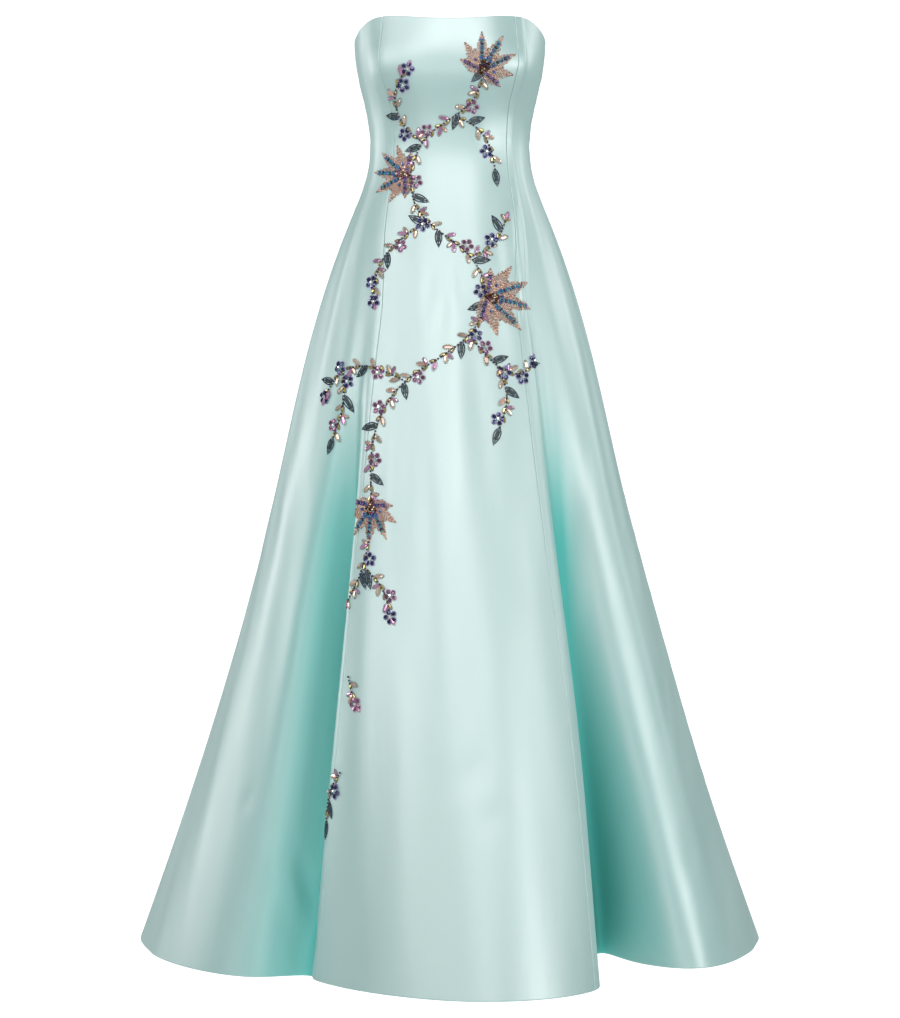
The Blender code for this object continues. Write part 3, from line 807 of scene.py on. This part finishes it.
def leaf(length, width, tint, vein):
    """A pointed leaf: a dark rim of seed beads along a smooth outline, filled either side of its vein."""
    beads = []
    step = SEED_SPACING * 0.84

    def half_width(x):
        return width / 2.0 * math.sin(math.pi * (0.06 + 0.94 * part_way(x, length) ** 0.85)) ** 0.8

    for x in np.arange(0.0, length, step * 0.8):
        for side in (-1, 1):
            beads.append(seed(x, side * half_width(x), pick(SLATE, NAVY), SEED_SIZE * 0.86))
    for x in np.arange(step, length - step, step):
        rows = max(0, int((half_width(x) - step * 0.7) / step))
        for row in range(-rows, rows + 1):
            filling = pick(tint, tint, SLATE, PEWTER)
            beads.append(seed(x, row * step, vein if row == 0 else filling, SEED_SIZE * 0.95))
    beads.append(seed(length + 0.0008, 0.0, SLATE, SEED_SIZE * 0.8))
    return beads


def flower(radius, tint, edge):
    """A flower of five round petals about a crystal, edged and filled between with small beads."""
    beads = [Bead(CRYSTAL, 0.0, 0.0, 0.0, radius * 0.46, radius * 0.46, radius * 0.4, CLEAR)]
    for turn in np.arange(0.0, 360.0, 72.0):
        petal_beads = [Bead(STONE, radius * 0.6, 0.0, 0.0, radius * 0.66, radius * 0.58, radius * 0.34, tint)]
        for spread in np.linspace(-110.0, 110.0, 7):
            out, aside = math.cos(math.radians(spread)), math.sin(math.radians(spread))
            petal_beads.append(seed(radius * (0.6 + 0.37 * out), radius * 0.33 * aside, edge, SEED_SIZE * 0.72))
        beads += laid(petal_beads, turn)
        beads += laid([seed(radius * 0.32, 0.0, CLEAR, SEED_SIZE * 0.6)], turn + 36.0)
    return beads


def bud(length, tint, edge):
    """A marquise stone in a rim of tiny beads, with a dark bead at its foot."""
    width = length * 0.44
    beads = [Bead(STONE, length * 0.6, 0.0, 0.0, length, width, length * 0.26, tint)]
    for turn in np.linspace(0.0, 2.0 * math.pi, 15, endpoint=False):
        x = length * (0.6 + 0.53 * math.cos(turn))
        beads.append(seed(x, width * 0.6 * math.sin(turn), edge, SEED_SIZE * 0.55))
    return [*beads, seed(-0.0004, 0.0, SLATE, SEED_SIZE)]


def petal(length, width, dashes):
    """A long petal of peach strands in a dark rim, and where tints are given bright dashes up its middle."""
    beads = []
    strands = int(width / 2.0 / STRAND_SPACING)

    def side(share, x):
        return share * width / 2.0 * math.sin(math.pi * (0.1 + 0.84 * part_way(x, length))) ** 0.75

    def reach(share):
        return length * (1.0 - 0.46 * abs(share) ** 1.8)

    for strand in range(-strands + 1, strands):
        share = strand / strands
        for x in np.arange(length * 0.1 + abs(share) * 0.004, reach(share) - 0.002, BUGLE_LENGTH * 0.96):
            heading = math.degrees(math.atan2(side(share, x + 0.002) - side(share, x), 0.002))
            tint = pick(PEACH, PEACH, CHAMPAGNE)
            beads.append(Bead(BUGLE, x, side(share, x), heading, BUGLE_LENGTH, BUGLE_WIDTH, BUGLE_HEIGHT, tint))
    edge = [(x, side(1.0, x)) for x in np.arange(length * 0.12, reach(1.0), STRAND_SPACING)]
    edge += [(reach(share), side(share, reach(share))) for share in np.linspace(1.0, 0.0, int(width / 0.0026))]
    for x, y in edge:
        for way in (-1, 1):
            beads.append(seed(x, way * y, pick(BRONZE, PLUM, PEACH), SEED_SIZE * 0.82))
    dash = (DASH_LENGTH, DASH_WIDTH, DASH_HEIGHT)
    for i, x in enumerate(np.arange(length * 0.16, length * 0.82, DASH_SPACING) if dashes else ()):
        for way in (-1, 1):
            tint = dashes[i % len(dashes)]
            beads.append(Bead(BUGLE, x, way * DASH_WIDTH, way * DASH_DEGREES, *dash, tint))
    return beads


# The petals of a blossom's fan, the undermost first, and how many scales its cup has in each row.
FAN = table(
    "heading dashes",
    (-96, (VIOLET, BLUE, NAVY)),
    (96, (VIOLET, BLUE, NAVY)),
    (-64, None),
    (64, None),
    (-32, (TURQUOISE, NAVY, TURQUOISE, BLUE)),
    (32, (TURQUOISE, NAVY, TURQUOISE, BLUE)),
    (0, (TURQUOISE, NAVY, TURQUOISE, BLUE)),
)
CUP_ROWS = (3, 4, 5, 4, 3, 2, 1)


def blossom(size):
    """A large half-open blossom: a fan of long petals, short ones under them, and a scaly bronze cup."""
    beads = []
    for row in FAN:
        length = size * (1.0 - 0.42 * (abs(row.heading) / 96.0) ** 1.7)
        beads += laid(petal(length, size * 0.3, row.dashes), row.heading)
    for row, count in enumerate(CUP_ROWS):
        for i in range(count):
            y = (i - (count - 1) / 2.0) * SCALE_SPACING
            tint = pick(BRONZE, BRONZE, PLUM, CHAMPAGNE)
            x, height = size * 0.22 - row * SCALE_ROW_STEP, SCALE_HEIGHT + row * 0.0002
            beads.append(Bead(SEQUIN, x, y, 0.0, SCALE_SIZE, SCALE_SIZE, height, tint))
    for turn in np.linspace(-66.0, 66.0, 6):
        stone = (CUP_STONE_LENGTH, CUP_STONE_WIDTH, CUP_STONE_HEIGHT)
        beads += laid([Bead(STONE, size * 0.29, 0.0, 0.0, *stone, BLUE)], turn)
    return beads


def smooth_route(points):
    """Many points close together on a smooth curve through a route's own points, with distances along it."""
    points = np.array(points, float)
    chords = running_sum(lengths(np.diff(points, axis=0)))
    fine = cubic_weights(chords, np.linspace(0.0, chords[-1], ROUTE_POINTS)) @ points
    return fine, running_sum(lengths(np.diff(fine, axis=0)))


def on_route(route, along):
    """Where a distance along a route is, and the way that the route heads there."""
    fine, distances = route
    nudge = 0.002
    spots = (along, along + nudge, along - nudge)
    here, ahead, behind = ([np.interp(spot, distances, column) for column in fine.T] for spot in spots)
    return *here, math.degrees(math.atan2(ahead[1] - behind[1], ahead[0] - behind[0]))


def stem(route):
    """Beads strung along a route, large dark ones between small light ones."""
    beads = []
    pattern = ((SLATE, 1.4), (CLEAR, 0.8), (NAVY, 1.3), (BLUSH, 0.95), (SLATE, 1.3), (OLIVE_GOLD, 0.85))
    for i, along in enumerate(np.arange(0.0, route[1][-1], SEED_SPACING * 1.1)):
        x, z, _ = on_route(route, along)
        tint, share = pattern[i % len(pattern)]
        size = SEED_SIZE * share
        beads.append(Bead(SEED, x, z, 0.0, size, size, size * 0.9, tint))
    return beads


def flower_at(across, z, radius):
    """A flower in one of two colourings, by chance."""
    tint, edge = pick((NAVY, VIOLET), (PLUM, MAUVE))
    return laid(flower(radius, tint, edge), chance.uniform(0.0, 72.0), across, z)


def side_growth(i, x, z, aim, side):
    """What grows at a place on a stem, by turns: a dark leaf, stones of several colours or a flower."""
    if i % 5 == 0:
        size = chance.uniform(*LEAF_LENGTHS)
        return laid(leaf(size, size * 0.4, SLATE, PEWTER), aim, x, z)
    if i % 5 == 3:
        out = math.radians(aim)
        beads = flower_at(x + 0.01 * math.cos(out), z + 0.01 * math.sin(out), chance.uniform(*FLOWER_RADII))
        return beads + laid(bud(0.0085, OLIVE_GOLD, PLUM), aim - side * 75.0, x, z)
    tint = pick(CHAMPAGNE, PEACH, MAUVE, CHAMPAGNE)
    beads = laid(bud(chance.uniform(*BUD_LENGTHS), tint, BRONZE), aim, x, z)
    beads += laid(bud(chance.uniform(*SMALL_BUD_LENGTHS), OLIVE_GOLD, PLUM), aim - side * 62.0, x, z)
    if i % 5 == 2:
        beads += laid(bud(0.0115, MAUVE if tint != MAUVE else PEACH, PEWTER), aim + side * 50.0, x, z)
    return beads


# The buds that grow at each kind of tip, and how far each turns from the stem.
TIP_BUDS = table(
    "tip length tint rim turn",
    ("flower", 0.012, MAUVE, BLUSH, 20.0),
    ("bud", 0.014, MAUVE, PLUM, 0.0),
    ("bud", 0.011, CHAMPAGNE, BRONZE, 48.0),
    ("bud", 0.008, OLIVE_GOLD, BLUSH, -48.0),
)


def branch(row):
    """A stem with growth on either side by turns, and something at its tip."""
    route = smooth_route(row.points)
    beads = stem(route)
    length = route[1][-1]
    for i, along in enumerate(np.arange(0.009, length - 0.008, row.spacing), start=row.first):
        x, z, heading = on_route(route, along)
        side = 1 if i % 2 else -1
        beads += side_growth(i, x, z, heading + side * chance.uniform(*GROWTH_DEGREES), side)
    x, z, heading = on_route(route, length)
    if row.tip == "flower":
        beads += flower_at(x, z, 0.0112)
    if row.tip == "leaf":
        beads += laid(leaf(0.025, 0.0105, SLATE, PEWTER), heading, x, z)
    for grown in TIP_BUDS:
        if grown.tip == row.tip:
            beads += laid(bud(grown.length, grown.tint, grown.rim), heading + grown.turn, x, z)
    return beads


# The sewn design: branches by the points that they pass, and how far apart their growth is.
BRANCHES = table(
    "name points spacing tip first",
    ("bodice_bow", ((0.052, 0.112), (0.04, 0.07), (0.004, 0.036), (-0.038, 0.004), (-0.06, -0.046)),
     0.015, None, 0),
    ("hip_bow", ((-0.06, -0.046), (-0.052, -0.098), (-0.012, -0.142), (0.034, -0.182), (0.054, -0.236),
                 (0.036, -0.29), (-0.012, -0.332)), 0.014, None, 3),
    ("thigh_bow", ((-0.012, -0.332), (-0.066, -0.368), (-0.106, -0.42), (-0.121, -0.486),
                   (-0.12, -0.552)), 0.015, None, 1),
    ("bust_tendril", ((-0.042, 0.0), (-0.074, 0.03), (-0.084, 0.074), (-0.064, 0.106)), 0.015, "flower", 2),
    ("waist_tendril", ((0.005, 0.037), (0.034, 0.026), (0.062, -0.008), (0.07, -0.042)), 0.016, "leaf", 4),
    ("hip_tendril_left", ((0.03, -0.178), (0.066, -0.16), (0.086, -0.122)), 0.0145, "bud", 1),
    ("hip_tendril_right", ((-0.03, -0.124), (-0.074, -0.15), (-0.11, -0.194), (-0.118, -0.246)),
     0.0145, "flower", 0),
    ("knee_tendril_left", ((0.03, -0.298), (0.07, -0.342), (0.106, -0.356), (0.134, -0.336)),
     0.0145, "flower", 2),
    ("knee_drop_left", ((0.07, -0.342), (0.086, -0.388), (0.074, -0.438)), 0.0145, "leaf", 3),
    ("side_spray", ((-0.066, -0.368), (-0.118, -0.346), (-0.172, -0.35), (-0.214, -0.388)), 0.0145, "flower", 1),
    ("side_drop", ((-0.172, -0.35), (-0.176, -0.404), (-0.198, -0.452)), 0.0145, "leaf", 3),
    ("trail_upper", ((-0.124, -0.6), (-0.14, -0.65), (-0.166, -0.69)), 0.014, "bud", 2),
    ("trail_upper_twig", ((-0.136, -0.64), (-0.104, -0.672), (-0.092, -0.712)), 0.0145, "flower", 0),
    ("trail_middle", ((-0.166, -0.8), (-0.152, -0.838)), 0.015, "flower", 1),
    ("trail_lower", ((-0.186, -0.936), (-0.212, -0.968), (-0.222, -1.006)), 0.014, "leaf", 2),
)
BLOSSOMS = table(
    "across z heading size",
    (0.048, 0.104, 58.0, 0.062),
    (-0.068, -0.05, 172.0, 0.062),
    (0.058, -0.24, -12.0, 0.076),
    (-0.12, -0.552, -96.0, 0.058),
)


def lie_on_cloth(beads):
    """Centres and Euler turns of beads on the cloth, each pointing its own way along it."""
    across, z, height = np.array([(bead.across, bead.z, bead.height) for bead in beads]).T
    nudge = 0.0008

    def points(a, h):
        return cloth_points(np.array([place_at(*spot) for spot in zip(a, h)]), h)

    right = unit(points(across + nudge, z) - points(across - nudge, z))
    out = unit(np.cross(right, points(across, z + nudge) - points(across, z - nudge)))
    up = np.cross(out, right)
    headings = np.radians([bead.heading for bead in beads])[:, None]
    along = right * np.cos(headings) + up * np.sin(headings)
    aside = np.cross(out, along)
    turns = []
    for axes in zip(along, aside, out):
        rock = Matrix.Rotation(chance.normal(0.0, BEAD_ROCK), 3, "X")
        pitch = Matrix.Rotation(chance.normal(0.0, BEAD_PITCH), 3, "Y")
        turns.append((Matrix(axes).transposed() @ (rock @ pitch)).to_euler())
    return points(across, z) + out * (height * BEAD_SEAT)[:, None], np.array(turns)


def set_on_points(name, points, inputs, draw, material):
    """A plain mesh with one shape on every point, drawn by Geometry Nodes from the tree's named inputs."""
    tree = bpy.data.node_groups.new(name, "GeometryNodeTree")
    tree.interface.new_socket("Geometry", in_out="INPUT", socket_type="NodeSocketGeometry")
    made = {key: tree.interface.new_socket(key, in_out="INPUT", socket_type=kind) for key, kind, _ in inputs}
    tree.interface.new_socket("Geometry", in_out="OUTPUT", socket_type="NodeSocketGeometry")
    nodes = Nodes(tree)
    group = nodes.add("NodeGroupInput")
    given = [Socket(nodes, group.socket.node.outputs[key]) for key in made]
    shape, placing = draw(nodes, *given)
    placed = nodes.add("GeometryNodeInstanceOnPoints", sockets={"Points": group, "Instance": shape, **placing})
    real = nodes.add("GeometryNodeRealizeInstances", sockets={"Geometry": placed})
    finished = nodes.add("GeometryNodeSetMaterial", sockets={"Geometry": real, "Material": material})
    nodes.add("NodeGroupOutput", sockets={"Geometry": finished})
    helper = put(name + "_helper", points)
    modifier = helper.modifiers.new(name, "NODES")
    modifier.node_group = tree
    for key, _, value in inputs:
        modifier[made[key].identifier] = value
    mesh = bpy.data.meshes.new_from_object(helper.evaluated_get(bpy.context.evaluated_depsgraph_get()))
    bpy.data.objects.remove(helper)
    return mesh


BEAD_SIDES = {BUGLE: 6, SEQUIN: 8, STONE: 6, CRYSTAL: 8}
CUP_TOP = {SEQUIN: 0.3, CRYSTAL: 0.28}


def bead_shape(nodes, kind, sides):
    """One bead of a kind, a metre each way, lying along X."""
    if kind == SEED:
        made = nodes.add("GeometryNodeMeshIcoSphere", sockets={"Radius": 0.5, "Subdivisions": 1})
    elif kind == STONE:
        made = nodes.add("GeometryNodeMeshUVSphere", sockets={"Segments": sides, "Rings": 3, "Radius": 0.5})
    elif kind == BUGLE:
        made = nodes.add("GeometryNodeMeshCylinder", sockets={"Vertices": sides, "Radius": 0.5, "Depth": 1.0})
    else:
        cup = {"Vertices": sides, "Radius Top": CUP_TOP[kind], "Radius Bottom": 0.5, "Depth": 0.5}
        made = nodes.add("GeometryNodeMeshCone", sockets=cup)
    if kind in (STONE, BUGLE):
        lying = (0.0, math.pi / 2.0, 0.0)
        made = nodes.add("GeometryNodeTransform", sockets={"Geometry": made, "Rotation": lying})
    smooth = kind in (SEED, BUGLE)
    return nodes.add("GeometryNodeSetShadeSmooth", sockets={"Geometry": made, "Shade Smooth": smooth})


def sew_beads(kind, beads, material):
    """All the beads of one kind, as one mesh on the cloth."""
    centres, turns = lie_on_cloth(beads)
    points = bpy.data.meshes.new(kind + "_points")
    points.from_pydata(centres.tolist(), [], [])
    sizes = np.array([(bead.length, bead.width, bead.height) for bead in beads])
    tints = np.array([(*bead.tint, 1.0) for bead in beads])
    tints[:, :3] *= chance.uniform(*TINT_SPREAD, (len(beads), 1))
    for name, data_type, field, values in (
        ("turn", "FLOAT_VECTOR", "vector", turns),
        ("size", "FLOAT_VECTOR", "vector", sizes),
        ("tint", "FLOAT_COLOR", "color", np.clip(tints, 0.0, 1.0)),
    ):
        points.attributes.new(name, data_type, "POINT").data.foreach_set(field, values.ravel())

    def draw(nodes, scale, sides):
        euler, size = (
            nodes.add("GeometryNodeInputNamedAttribute", {"data_type": "FLOAT_VECTOR"}, {"Name": name})
            for name in ("turn", "size")
        )
        turn = nodes.add("FunctionNodeEulerToRotation", sockets={"Euler": euler})
        scaled = nodes.add("ShaderNodeVectorMath", {"operation": "SCALE"}, {"Vector": size, "Scale": scale})
        return bead_shape(nodes, kind, sides), {"Rotation": turn, "Scale": scaled}

    inputs = (("Bead scale", "NodeSocketFloat", 1.0), ("Sides", "NodeSocketInt", BEAD_SIDES.get(kind, 0)))
    show(kind, set_on_points(kind, points, inputs, draw, material), material)


def bead_material(name, metallic, roughness, **constants):
    """Glass or metal in each bead's own tint."""
    material, nodes, shader = new_material(name, **{"Metallic": metallic, "Roughness": roughness, **constants})
    tint = nodes.add("ShaderNodeAttribute", {"attribute_name": "tint"})
    speckle = noise(nodes, nodes.add("ShaderNodeTexCoord", output=3), 1.0, scale=260.0)
    brighter = nodes.add("ShaderNodeVectorMath", {"operation": "SCALE"}, {"Vector": tint, "Scale": 0.7 + speckle * 0.6})
    feed(nodes, shader, base_color=brighter)
    return material


def sew_beadwork():
    beads = []
    for row in BRANCHES:
        beads += branch(row)
    for row in BLOSSOMS:
        beads += laid(blossom(row.size), row.heading, row.across, row.z)
    glass = bead_material("lined_glass", 0.1, 0.14, **{"IOR": 1.5, "Coat Weight": 0.15, "Coat Roughness": 0.05})
    foil = bead_material("foiled_glass", 0.55, 0.14, **{"IOR": 1.6, "Coat Weight": 0.5, "Coat Roughness": 0.03})
    metal = bead_material("bronzed_metal", 0.9, 0.28)
    finishes = {SEED: glass, BUGLE: foil, SEQUIN: metal, STONE: foil, CRYSTAL: foil}
    for kind, material in finishes.items():
        sew_beads(kind, [bead for bead in beads if bead.kind == kind], material)


# The concealed zip
ZIP_FOOT_Z = -0.235
TAPE_HALF_WIDTH = 0.011
TAPE_THICKNESS = 0.0006
TOOTH_PITCH = 0.0016
TOOTH_SIZE = (0.0036, 0.0009, 0.0008)
TAPE_ROWS, TAPE_COLUMNS = 120, 9
TAPE_DARK, TAPE_LIGHT = (0.24, 0.48, 0.44, 1.0), (0.42, 0.66, 0.62, 1.0)
ENAMEL_DARK, ENAMEL_LIGHT = (0.36, 0.58, 0.54, 1.0), (0.46, 0.68, 0.64, 1.0)
CHAIN_MARGIN = 0.004


def zip_points(aside, z, depth):
    """Points behind the centre back seam, so far aside from it and so deep under the cloth's outer side."""
    centre = PLACE_OF["centre_back"]
    places = centre + aside / metres_per_place(centre, z)
    return smooth_points(places, z) - smooth_normals(places, z) * depth


def woven_material():
    material, nodes, shader = new_material("zip_tape_weave", **{"Roughness": 0.75})
    uv = nodes.add("ShaderNodeUVMap", {"uv_map": "cloth"})
    slanting = {"bands_direction": "DIAGONAL"}
    ribs = nodes.add("ShaderNodeTexWave", slanting, {"Vector": uv, "Scale": 420.0, "Distortion": 0.6})
    colour = mixed(nodes, ribs * 0.5 + 0.2, TAPE_DARK, TAPE_LIGHT)
    bump = nodes.add("ShaderNodeBump", sockets={"Strength": 0.5, "Distance": 0.0002, "Height": ribs})
    feed(nodes, shader, base_color=colour, normal=bump)
    return material


def enamel_material():
    material, nodes, shader = new_material("enamelled_metal", **{"Coat Weight": 0.5, "Coat Roughness": 0.1})
    wear = noise(nodes, nodes.add("ShaderNodeTexCoord", output=3), 3.0, scale=700.0)
    colour = mixed(nodes, wear, ENAMEL_DARK, ENAMEL_LIGHT)
    feed(nodes, shader, base_color=colour, roughness=0.25 + wear * 0.2)
    return material


def make_zip():
    weave, enamel = woven_material(), enamel_material()
    top = float(neckline_z(np.array([PLACE_OF["centre_back"]]))[0]) - WALL
    z = np.linspace(top, ZIP_FOOT_Z, TAPE_ROWS)[:, None] * np.ones((1, TAPE_COLUMNS))
    aside = np.linspace(-TAPE_HALF_WIDTH, TAPE_HALF_WIDTH, TAPE_COLUMNS)[None, :] * np.ones_like(z)
    face = WALL + SEAM_GAP
    back = face + TAPE_THICKNESS
    mesh = shell_mesh("zip_tapes", zip_points(aside, z, face), zip_points(aside, z, back), aside, z)
    tape = show("zip_tapes", mesh, weave, replaces="zip_tape")
    show("zip_chain", chain_mesh(top, back, enamel), enamel)
    for node, body in (("zip_slider", "gown"), ("zip_tab", "tab")):
        show(node + "_finished", softened_copy(node), enamel, body=body, replaces=node)


def chain_mesh(top, depth, material):
    """The coil's teeth across the middle of the tapes, inside the gown."""
    z = np.arange(top - CHAIN_MARGIN, ZIP_FOOT_Z + CHAIN_MARGIN, -TOOTH_PITCH)
    centres = zip_points(np.zeros_like(z), z, depth + TOOTH_SIZE[1] / 2.0)
    points = bpy.data.meshes.new("zip_chain_points")
    points.from_pydata(centres.tolist(), [], [])

    def draw(nodes, size):
        return nodes.add("GeometryNodeMeshCube", sockets={"Size": size}), {}

    return set_on_points("zip_teeth", points, (("Tooth size", "NodeSocketVector", TOOTH_SIZE),), draw, material)


# How the slider and the tab are rounded: what is taken for one point, for flat and for an edge.
WELD = 0.00001
FLAT_DEGREES = 2
EDGE_DEGREES = 30
EDGE_ROUNDING = 0.00015


def softened_copy(node):
    """A node's own shape with its edges rounded."""
    bm = bmesh.new()
    bm.from_mesh(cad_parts[node].data)
    bmesh.ops.remove_doubles(bm, verts=bm.verts, dist=WELD)
    bmesh.ops.dissolve_limit(bm, angle_limit=math.radians(FLAT_DEGREES), verts=bm.verts, edges=bm.edges)
    sharp = [edge for edge in bm.edges if edge.is_manifold and edge.calc_face_angle() > math.radians(EDGE_DEGREES)]
    bmesh.ops.bevel(bm, geom=sharp, offset=EDGE_ROUNDING, segments=2, profile=0.5, affect="EDGES")
    mesh = bpy.data.meshes.new(node + "_finished")
    bm.to_mesh(mesh)
    bm.free()
    return mesh


def make_sweep():
    """A white paper floor that sweeps up behind. It shines by itself, so no shadow lies on it."""
    profile = [(FLOOR_STARTS_Y, 0.0), (BACKDROP_STARTS_Y, 0.0)]
    for turn in np.linspace(0.0, math.pi / 2.0, 12)[1:]:
        y = BACKDROP_STARTS_Y + BACKDROP_RADIUS * math.sin(turn)
        profile.append((y, BACKDROP_RADIUS * (1.0 - math.cos(turn))))
    profile.append((BACKDROP_STARTS_Y + BACKDROP_RADIUS, BACKDROP_HEIGHT))
    vertices = []
    for y, z in profile:
        half_width = BACKDROP_HALF_WIDTH if z > NARROW_ABOVE else FLOOR_HALF_WIDTH
        vertices += [(side * half_width, y, HEM_Z - FLOOR_BELOW_HEM + z) for side in (-1, 1)]
    faces = [(2 * i, 2 * i + 1, 2 * i + 3, 2 * i + 2) for i in range(len(profile) - 1)]
    mesh = bpy.data.meshes.new("studio_sweep")
    mesh.from_pydata(vertices, [], faces)
    mesh.shade_smooth()
    paper = {"Roughness": 0.9, "Base Color": PAPER, "Emission Color": WHITE, "Emission Strength": PAPER_SHINE}
    mesh.materials.append(new_material("white_paper", **paper)[0])
    sweep = put("studio_sweep", mesh)
    sweep.visible_glossy = False


def light_studio():
    for box in SOFTBOXES:
        light = bpy.data.lights.new(box.name, "AREA")
        light.shape = "RECTANGLE"
        light.size, light.size_y = box.width, box.height
        light.energy = box.power
        turn = math.radians(box.degrees)
        place = (box.distance * math.sin(turn), -box.distance * math.cos(turn), box.z)
        put(box.name, light, place, aimed(place, (0.0, 0.0, box.aim_z)))
    world = bpy.data.worlds.new("studio")
    world.use_nodes = True
    world.node_tree.nodes["Background"].inputs["Color"].default_value = WHITE
    world.node_tree.nodes["Background"].inputs["Strength"].default_value = ROOM_LIGHT
    bpy.context.scene.world = world


def set_camera():
    camera = bpy.data.cameras.new("camera")
    camera.sensor_width = SENSOR_MM
    camera.lens = CAMERA_DISTANCE / METRES_PER_PIXEL * SENSOR_MM / max(FRAME_PIXELS)
    place, level = (0.0, -CAMERA_DISTANCE, CAMERA_Z), (math.pi / 2.0, 0.0, 0.0)
    bpy.context.scene.camera = put("camera", camera, place, level)
    bpy.context.scene.view_settings.view_transform = "Standard"


def aimed(place, aim):
    """The Euler turn of something at a place whose -Z points at an aim."""
    x, y, z = (a - p for a, p in zip(aim, place))
    return math.atan2(math.hypot(x, y), -z), 0.0, math.atan2(-x, y)


def main():
    make_sweep()
    light_studio()
    set_camera()
    satin = satin_material()
    for panel in PANELS:
        sew_panel(panel, satin)
    sew_beadwork()
    make_zip()


main()
